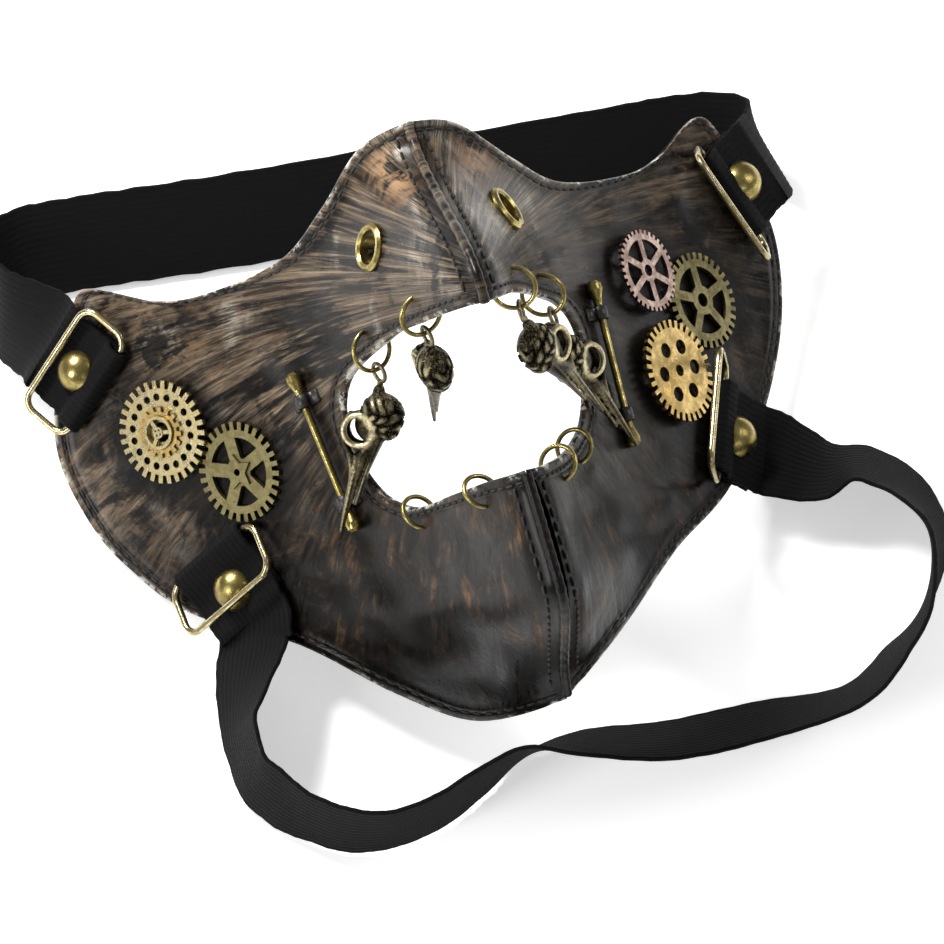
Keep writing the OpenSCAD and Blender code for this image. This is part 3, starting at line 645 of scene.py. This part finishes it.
def stitches(name, lines, node, pitch=PITCH, gap=0.8, r=0.36, sink=0.0):
    """one short raised stitch after another along each line of face points"""
    parts = []
    for xz, closed in lines:
        xz = np.asarray(xz, float)
        if closed:
            xz = np.concatenate([xz, xz[:1]])
        p = face(xz[:, 0], xz[:, 1])
        s = np.concatenate([[0], np.cumsum(np.linalg.norm(np.diff(p, axis=0), axis=1))])
        n = max(2, int(round(s[-1] / pitch)))
        step = s[-1] / n
        for k in range(n):
            t = np.linspace(k * step + gap / 2, (k + 1) * step - gap / 2, 7)
            x, z = np.interp(t, s, xz[:, 0]), np.interp(t, s, xz[:, 1])
            u = np.linspace(-1, 1, 7)
            h = sink + 0.22 - 0.42 * u ** 4
            rad = r * np.sqrt(np.clip(1.04 - u ** 4, 0.02, 1))
            parts.append(tube(over(x, z, h), out(x, z), rad, 8))
    V, F = merge(parts)
    o = make(name, row(V), F, M_THREAD)
    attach(o, BODY)
    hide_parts(node)


def ring_line(which, d):
    """the line a distance d in from the mouth (which 0) or from the outline (which 1), all round"""
    res = []
    for mouth, edge, s in ((RIGHT_MOUTH, RIGHT_EDGE, 1), (LEFT_MOUTH, LEFT_EDGE, -1)):
        t = np.linspace(0, KNOTS, KNOTS * 12 + 1)
        a, b = spline(mouth, t), spline(edge, t)
        w = np.linalg.norm(b - a, axis=1, keepdims=True)
        q = b + (a - b) * d / w if which else a + (b - a) * d / w
        res.append(np.stack([s * q[:, 0], q[:, 1]], -1))
    return np.concatenate([res[0], res[1][::-1]])


def seam_lines(z0, z1):
    """the two stitch lines beside the middle seam"""
    return [([(s * SEAM_X, z) for z in np.linspace(z0, z1, 60)], False) for s in (-1, 1)]


stitches("sewing_edge", [(ring_line(1, STITCH_IN), True)], "edge_stitching")
stitches("sewing_mouth", [(ring_line(0, STITCH_IN), True)], "mouth_stitching", 3.0)
stitches("sewing_nose", seam_lines(30, 68), "nose_stitching")
stitches("sewing_chin", seam_lines(-67, -15), "chin_stitching")


# ---------------------------------------------------------------- elastic straps
def fit_axes(i):
    """the rivet's place on the leather, the strap's width direction, the leather's normal, the strap's run"""
    x, z = RIVETS[i]
    fy = along(x, z, SIDES[i])
    fn = out(np.float64(x), np.float64(z))
    return face(x, z), fy, fn, np.cross(fy, fn)


ROLL_R = 0.9 + 0.3 + 0.6   # ring wire radius, clearance and half the strap


def fold(i, g):
    """stations of the strap end that goes over the leather, round the ring's wire and back over itself"""
    c, fy, fn, fs = fit_axes(i)
    r = ROLL_AT[i]
    y = row_dir(g * fy)
    st = [(s, 0.75) for s in (6, 2, 3 - r)]
    st += [(-r + ROLL_R * math.cos(math.radians(a)), ROLL_H + ROLL_R * math.sin(math.radians(a)))
           for a in range(-90, -271, -30)]
    st += [(3 - r, 3.9), (-2.5, 2.3), (2, 2.1), (7, 2.1), (10, 2.2)]
    return [(row(c + s * fs + h * fn), y) for s, h in st]


# free stations of each strap: centre in the row frame, width direction
UPPER = [((-95, 97, 26), (0.7, 0.35, 0.65)), ((-103, 111, 19), (0.35, 0.45, 0.8)),
         ((-103, 124, 14), (0.1, 0.6, 0.78)), ((-95, 132, 10), (0, 0.75, 0.65)),
         ((-80, 132, 9), (0, 0.78, 0.62)), ((-40, 126, 9), (0, 0.78, 0.62)),
         ((10, 120, 9), (0, 0.78, 0.62)), ((60, 114, 9), (0, 0.78, 0.62)), ((87, 110, 10), (0, 0.78, 0.62)),
         ((99, 103, 13), (-0.1, 0.78, 0.62)), ((101, 95, 19), (-0.3, 0.75, 0.62))]
LOWER = [((-67, 3, 10.5), (15, -13, 16)), ((-73, -11, 12), (9, -12, 20)), ((-76, -20, 12.5), (7, -9, 22)),
         ((-76, -31, 13), (8, -5, 23)), ((-72, -39, 13.5), (7, 0, 24)), ((-66, -46, 13.5), (4, 0, 25)),
         ((-58, -52, 13.5), (3, 0, 25)), ((-48, -55, 13.5), (0, -1, 25)), ((-36, -54, 13.5), (-2, -2, 25)),
         ((-24, -50, 13.5), (-3, -4, 25)), ((-11, -46, 13), (-3, -8, 23)), ((3, -48, 12.5), (-5, -14, 20)),
         ((23, -53, 11), (-4, -17, 18)), ((46, -55, 11), (-2, -17, 18)), ((69, -56, 12), (-1, -14, 21)),
         ((85, -47, 13), (-2, -12, 22)), ((95, -38, 13), (-6, -10, 22)), ((102, -26, 12), (-9, -11, 21)),
         ((104, -16, 11.5), (-11, -9, 20)), ((101, -4, 10.5), (-12, -13, 17)), ((94, 4, 10), (-11, -15, 16)),
         ((84, 7, 7.5), (-11, -19, 9))]


def stations(a, free, b):
    """smooth centre line and width directions through the folded end a, the free stations and the end b"""
    mid = [a[-1]] + [(np.array(c) + np.array([SX, SY, LIFT - 96]), np.array(w)) for c, w in free] + [b[0]]
    c = np.array([s[0] for s in mid])
    w = unit(np.array([s[1] for s in mid]))
    t = np.linspace(0, len(mid) - 1, (len(mid) - 1) * 10 + 1)
    cc, ww = spline(c, t), spline(w, t)
    ca = np.array([s[0] for s in a])
    wa = unit(np.array([s[1] for s in a]))
    cb = np.array([s[0] for s in b])
    wb = unit(np.array([s[1] for s in b]))

    def dense(cx, wx):
        t = np.linspace(0, len(cx) - 1, (len(cx) - 1) * 5 + 1)
        return spline(cx, t), spline(wx, t)
    ca, wa = dense(ca, wa)
    cb, wb = dense(cb, wb)
    return np.concatenate([ca[:-1], cc, cb[1:]]), np.concatenate([wa[:-1], ww, wb[1:]])


def strap(name, c, w, node):
    """a ribbed elastic sheet swept along centre points c with width directions w"""
    n = len(c)
    g = unit(np.gradient(c, axis=0))
    y = unit(w - (w * g).sum(1, keepdims=True) * g)
    o = np.cross(g, y)
    u = np.linspace(-1, 1, RIBS * 6 + 1)
    rib = RIB_H * np.abs(np.cos(u * RIBS * math.pi / 2)) ** 0.7
    thin = np.sqrt(np.clip(1 - ((np.abs(u) - 0.965) / 0.035).clip(0, 1) ** 2, 0, 1))
    top = (STRAP_T / 2 - RIB_H + rib) * thin
    bot = -(STRAP_T / 2 - RIB_H + rib[::-1]) * thin
    prof = np.concatenate([np.stack([u * STRAP_W / 2, top], -1),
                           np.stack([u[::-1] * STRAP_W / 2, bot[::-1]], -1)[1:-1]])
    k = len(prof)
    s = np.concatenate([[0], np.cumsum(np.linalg.norm(np.diff(c, axis=0), axis=1))])
    wob = 1 + 0.012 * np.sin(s * 0.9) + 0.008 * np.sin(s * 2.3 + 1)
    V = (c[:, None] + prof[None, :, 0, None] * wob[:, None, None] * y[:, None]
         + prof[None, :, 1, None] * o[:, None])
    F = grid_faces(n, k, 0, True, wrap_v=True)
    F += [tuple(range(k - 1, -1, -1)), tuple(range((n - 1) * k, n * k))]
    lane = np.stack([np.repeat(s, k), np.tile(prof[:, 0], n), np.tile(prof[:, 1], n)], -1)
    ob = make(name, V.reshape(-1, 3), F, M_ELASTIC, True, dict(lane=lane))
    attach(ob, BODY)
    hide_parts(node)
    print("strap", name, "length mm", round(float(s[-1]), 1))
    return ob


strap("elastic_upper", *stations(fold(0, -1), UPPER, fold(1, 1)[::-1]), "upper_strap")
strap("elastic_lower", *stations(fold(2, 1), LOWER, fold(3, -1)[::-1]), "lower_strap")


# ---------------------------------------------------------------- leather bands over the pin necks
def pin_ends(i):
    (x0, z0), (x1, z1) = PINS[i]
    return over(np.float64(x0), np.float64(z0), 1.6), over(np.float64(x1), np.float64(z1), 1.6)


for i, side in enumerate(("left", "right")):
    a, b = pin_ends(i)
    for k, level in enumerate(("upper", "lower")):
        p = a if k == 0 else b
        t = unit(b - a) * (1 if k == 0 else -1)
        c = p + 7.5 * t
        o = out(np.float64(c[0]), np.float64(c[2]))
        o = unit(o - (o @ t) * t)
        q = np.cross(t, o)
        ang = np.linspace(-100, 100, 25) * math.pi / 180
        arc = [(math.sin(x) * 1.55, math.cos(x) * 1.55) for x in ang]
        arc = [(-4.4, -1.35), (-3.4, -1.3), (-2.5, -1.1)] + arc + [(2.5, -1.1), (3.4, -1.3), (4.4, -1.35)]
        prof = [(-1, 0), (-0.8, 0.28), (0, 0.34), (0.8, 0.28), (1, 0), (0.8, -0.2), (-0.8, -0.2)]
        V = []
        for j, (s0, h0) in enumerate(arc):
            prev, nxt = arc[max(j - 1, 0)], arc[min(j + 1, len(arc) - 1)]
            tx, th = nxt[0] - prev[0], nxt[1] - prev[1]
            ln = math.hypot(tx, th)
            nx, nh = -th / ln, tx / ln
            for (lt, d) in prof:
                V.append(c + (s0 + nx * d) * q + (h0 + nh * d) * o + lt * 1.7 * t)
        m = len(prof)
        F = grid_faces(len(arc), m, wrap_v=True)
        F += [tuple(range(m)), tuple(range(len(V) - 1, len(V) - m - 1, -1))]
        ob = make("tab_%s_%s" % (side, level), row(np.array(V)), F, M_BAND)
        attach(ob, BODY)
        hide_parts("pin_band_%s_%s" % (side, level))


# ---------------------------------------------------------------- bird skulls
CHARM_HOLES = [(-23, 26.5), (-12.5, 32), (10.5, 32.5), (20, 28)]
LOOPS = [(-21.5, 38, 16), (-11, 12, 22.5), (10.5, 5, 22), (21, 30.5, 18)]
BEAKS = [(-40, 47.5, -19), (-11, 47.6, 0.2), (26.5, 29, -8), (34.5, 44, -19)]
SKULL_SIDE = [(-0.35, -0.93, 0), (-0.97, 0.1, -0.2), (-0.59, 0.81, 0), (-0.49, 0.87, -0.07)]


def ellipsoid(c, r, n=28, tilt=0.0):
    """centre c, radii r, tilted about y by tilt radians"""
    a, b = np.linspace(0, math.pi, n), np.linspace(0, 2 * math.pi, 2 * n, endpoint=False)
    A, B = np.meshgrid(a, b, indexing="ij")
    P = np.stack([r[0] * np.sin(A) * np.cos(B), r[1] * np.sin(A) * np.sin(B), r[2] * np.cos(A)], -1)
    P = P.reshape(-1, 3)
    ct, st = math.cos(tilt), math.sin(tilt)
    P = np.stack([P[:, 0] * ct + P[:, 2] * st, P[:, 1], -P[:, 0] * st + P[:, 2] * ct], -1)
    return P + np.array(c), grid_faces(n, 2 * n, 0, False, wrap_v=True)


def loft(st, k=20):
    """sections (x, z, half depth along x, half width along y), closed at both ends"""
    t = np.linspace(0, len(st) - 1, (len(st) - 1) * 6 + 1)
    s = spline(np.array(st, float), t)
    a = np.linspace(0, 2 * math.pi, k, endpoint=False)
    V = np.stack([s[:, 0, None] + s[:, 2, None] * np.cos(a), s[:, 3, None] * np.sin(a),
                  np.repeat(s[:, 1, None], k, 1)], -1).reshape(-1, 3)
    n = len(t)
    ends = [tuple(range(k - 1, -1, -1)), tuple(range((n - 1) * k, n * k))]
    return V, grid_faces(n, k, 0, True, wrap_v=True) + ends


def torus_part(c, R, r, n=40, k=12, squash=1.0):
    """a ring in the x-z plane"""
    a = np.linspace(0, 2 * math.pi, n, endpoint=False)
    P = np.stack([c[0] + R * np.cos(a), np.full(n, c[1]), c[2] + R * squash * np.sin(a)], -1)
    return tube(P, np.stack([a * 0, a * 0 + 1, a * 0], -1), r, k, True)


EYE_X, EYE_Z = -1.2, -14.6       # the eye socket's centre, from the crown loop's centre


def skull_mesh():
    """a bird skull hanging along -z: crown, face, two beaks and open eye sockets, joined by a remesh"""
    parts = [
        ellipsoid((3.2, 0, -9.6), (5.6, 4.3, 5.2), tilt=0.3),
        ellipsoid((4.8, 0, -12.4), (3.4, 3.4, 3.2)),
        ellipsoid((1.8, 0, -12.4), (4.8, 3.3, 4.8)),
        ellipsoid((1.0, 0, -4.6), (1.5, 1.5, 2.0)),
        loft([(2.2, -11.5, 1.6, 2.3), (2.5, -15.5, 1.5, 2.2), (1.6, -19, 1.9, 2.0), (0.3, -22, 1.8, 1.5),
              (0, -28, 1.25, 1.0), (-0.1, -35, 0.85, 0.7), (0, -40.6, 0.45, 0.4)]),
        loft([(-4.3, -11, 0.7, 1.7), (-5.4, -14.5, 0.65, 1.4), (-4.4, -18, 0.8, 1.3), (-2.3, -21, 1.1, 1.2),
              (-0.8, -25, 0.9, 0.9), (-0.4, -30, 0.6, 0.6)]),
        loft([(4.6, -13.5, 1.0, 2.3), (3.6, -19, 0.7, 1.9), (2.6, -25, 0.55, 1.1), (1.8, -33, 0.45, 0.5)]),
    ]
    for y in (-1.9, 1.9):
        parts.append(torus_part((EYE_X, y, EYE_Z), 3.75, 0.75))
    V, F = merge(parts)
    me = bpy.data.meshes.new("skull_raw")
    me.from_pydata([tuple(v) for v in V], [], F)
    me.validate()
    o = bpy.data.objects.new("skull_raw", me)
    bpy.context.scene.collection.objects.link(o)
    bar = np.array([[EYE_X, y, EYE_Z] for y in (-9, 0, 9)], float)
    cut_v, cut_f = tube(bar, np.array([[1, 0, 0]] * 3, float), 3.1, 40)
    cm = bpy.data.meshes.new("cut")
    cm.from_pydata([tuple(v) for v in cut_v], [], cut_f)
    co = bpy.data.objects.new("cut", cm)
    bpy.context.scene.collection.objects.link(co)
    rm = o.modifiers.new("r", "REMESH")
    rm.mode = "VOXEL"
    rm.voxel_size = 0.26
    bm = o.modifiers.new("b", "BOOLEAN")
    bm.object = co
    bm.operation = "DIFFERENCE"
    bm.solver = "EXACT"
    sm = o.modifiers.new("s", "SMOOTH")
    sm.factor = 0.5
    sm.iterations = 3
    dg = bpy.context.evaluated_depsgraph_get()
    e = o.evaluated_get(dg)
    m2 = bpy.data.meshes.new_from_object(e)
    v = np.zeros(len(m2.vertices) * 3)
    m2.vertices.foreach_get("co", v)
    f = [tuple(p.vertices) for p in m2.polygons]
    for x in (o, co):
        bpy.data.objects.remove(x)
    return v.reshape(-1, 3), f


SK_V, SK_F = skull_mesh()
eye_r = np.hypot(SK_V[:, 0] - EYE_X, SK_V[:, 2] - EYE_Z)
d_eye = np.abs(eye_r - 3.7)
ridge = np.exp(-(d_eye / 0.8) ** 2) * (np.abs(SK_V[:, 1]) > 1.6)
beak_top = ease(-20, -24, SK_V[:, 2]) * ease(0.0, 0.5, np.abs(SK_V[:, 0] - 0.2)) * 0.8
ridge = np.clip(ridge + beak_top * 0.35, 0, 1)
dome = ease(-17, -13, SK_V[:, 2]) * (eye_r > 4.6)
# scrollwork on the crown, a shallow nostril groove
SK_V = SK_V.copy()
sx, sy, sz = SK_V.T
swirl = np.sin(1.25 * sx + 1.5 * np.sin(0.85 * sz) + 0.4) * np.sin(1.15 * sz + 1.3 * np.sin(1.1 * sy + 0.6))
crown = dome * ease(-5.0, -6.5, sz)
cut = (1 - ease(0.10, 0.38, np.abs(swirl))) * crown
SK_V = SK_V - 0.75 * cut[:, None] * unit(SK_V - np.array([3.2, 0, -10.5]))
ridge = np.clip(ridge + 0.5 * crown * ease(0.55, 0.9, np.abs(swirl)), 0, 1)
g = np.exp(-((SK_V[:, 2] + 22.5) / 2.2) ** 2 - ((SK_V[:, 0] + 0.6) / 0.7) ** 2)
SK_V[:, 1] *= 1 - 0.35 * g

for i in range(4):
    hx, hz = CHARM_HOLES[i]
    hole = over(np.float64(hx), np.float64(hz), -1.0)
    dr = unit(np.array(LOOPS[i]) - hole)
    o = out(np.float64(hx), np.float64(hz))
    tan = unit(o - (o @ dr) * dr)
    loop = hole + 10.9 * dr
    up = unit(np.array(LOOPS[i], float) - np.array(BEAKS[i], float))
    x = np.cross(up, np.array(SKULL_SIDE[i], float))
    x = unit(x - (x @ up) * up)
    y = np.cross(up, x)
    V = loop + SK_V[:, 0, None] * x + SK_V[:, 1, None] * y + SK_V[:, 2, None] * up
    # crown loop round the ring wire
    e1 = unit(up - (up @ tan) * tan)
    e2 = np.cross(tan, e1)
    ang = np.linspace(0, 2 * math.pi, 36, endpoint=False)
    P = loop + 2.3 * (np.cos(ang)[:, None] * e1 + np.sin(ang)[:, None] * e2)
    TV, TF = tube(P, np.repeat(tan[None], 36, 0), 0.5, 12, True)
    # short neck from the loop down to the crown
    k = np.linspace(0, 1, 6)[:, None]
    neck = (loop - 2.35 * e1) * (1 - k) + (loop + 1.3 * x - 5.6 * up) * k
    NV, NF = tube(neck, np.repeat(y[None], 6, 0), 0.75, 12, False)
    TV, TF = merge([(TV, TF), (NV, NF)])
    VV, FF = merge([(V, SK_F), (TV, TF)])
    nt_ = len(TV)
    at = dict(loc=np.concatenate([SK_V + i * 31.0, TV * 1.0]),
              ridge=np.concatenate([ridge, np.full(nt_, 0.35)]),
              groove=np.concatenate([cut * 0.9, np.zeros(nt_)]),
              dome=np.concatenate([dome.astype(float), np.zeros(nt_)]))
    ob = make("bird_skull_%d" % (i + 1), row(VV), FF, M_SKULL, True, at)
    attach(ob, "skull_%d" % (i + 1))
    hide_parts("skull_%d" % (i + 1))

# ---------------------------------------------------------------- CAD nodes that stay
KEEP = {"eyelet": M_BRASS, "gear_left_large": M_PALE, "gear_left_hub": M_PALE, "gear_left_small": M_GOLD,
        "gear_left_spoked": M_OLIVE, "gear_left_star": M_OLIVE, "gear_right_copper": M_COPPER,
        "gear_right_bronze": M_OLIVE, "gear_right_plate": M_GOLD, "dome": M_BRASS, "cap": M_BRASS,
        "keeper": M_WIRE, "charm_ring": M_BRASS, "hoop": M_BRASS, "pin_left": M_BRASS, "pin_right": M_BRASS}
for name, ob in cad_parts.items():
    for key, mat in KEEP.items():
        if name.startswith(key) and not name.startswith("pin_band"):
            ob.data.materials.clear()
            ob.data.materials.append(mat)

# ---------------------------------------------------------------- floor
fm, nt, b = new_mat("floor")
n = N(nt)
c = n.mix(n.noise(n.pos(), 3, 3, 0.5), (0.90, 0.90, 0.895), (0.92, 0.92, 0.915))
nt.links.new(c, b.inputs["Base Color"])
b.inputs["Roughness"].default_value = 0.9
b.inputs["Emission Color"].default_value = (1, 1, 1, 1)
b.inputs["Emission Strength"].default_value = 0.52
b.inputs["Specular IOR Level"].default_value = 0.1
FAR = 4000
floor = make("floor", np.array([(-FAR, -FAR, 0), (FAR, -FAR, 0), (FAR, FAR, 0), (-FAR, FAR, 0)], float),
             [(0, 1, 2, 3)], fm, False)
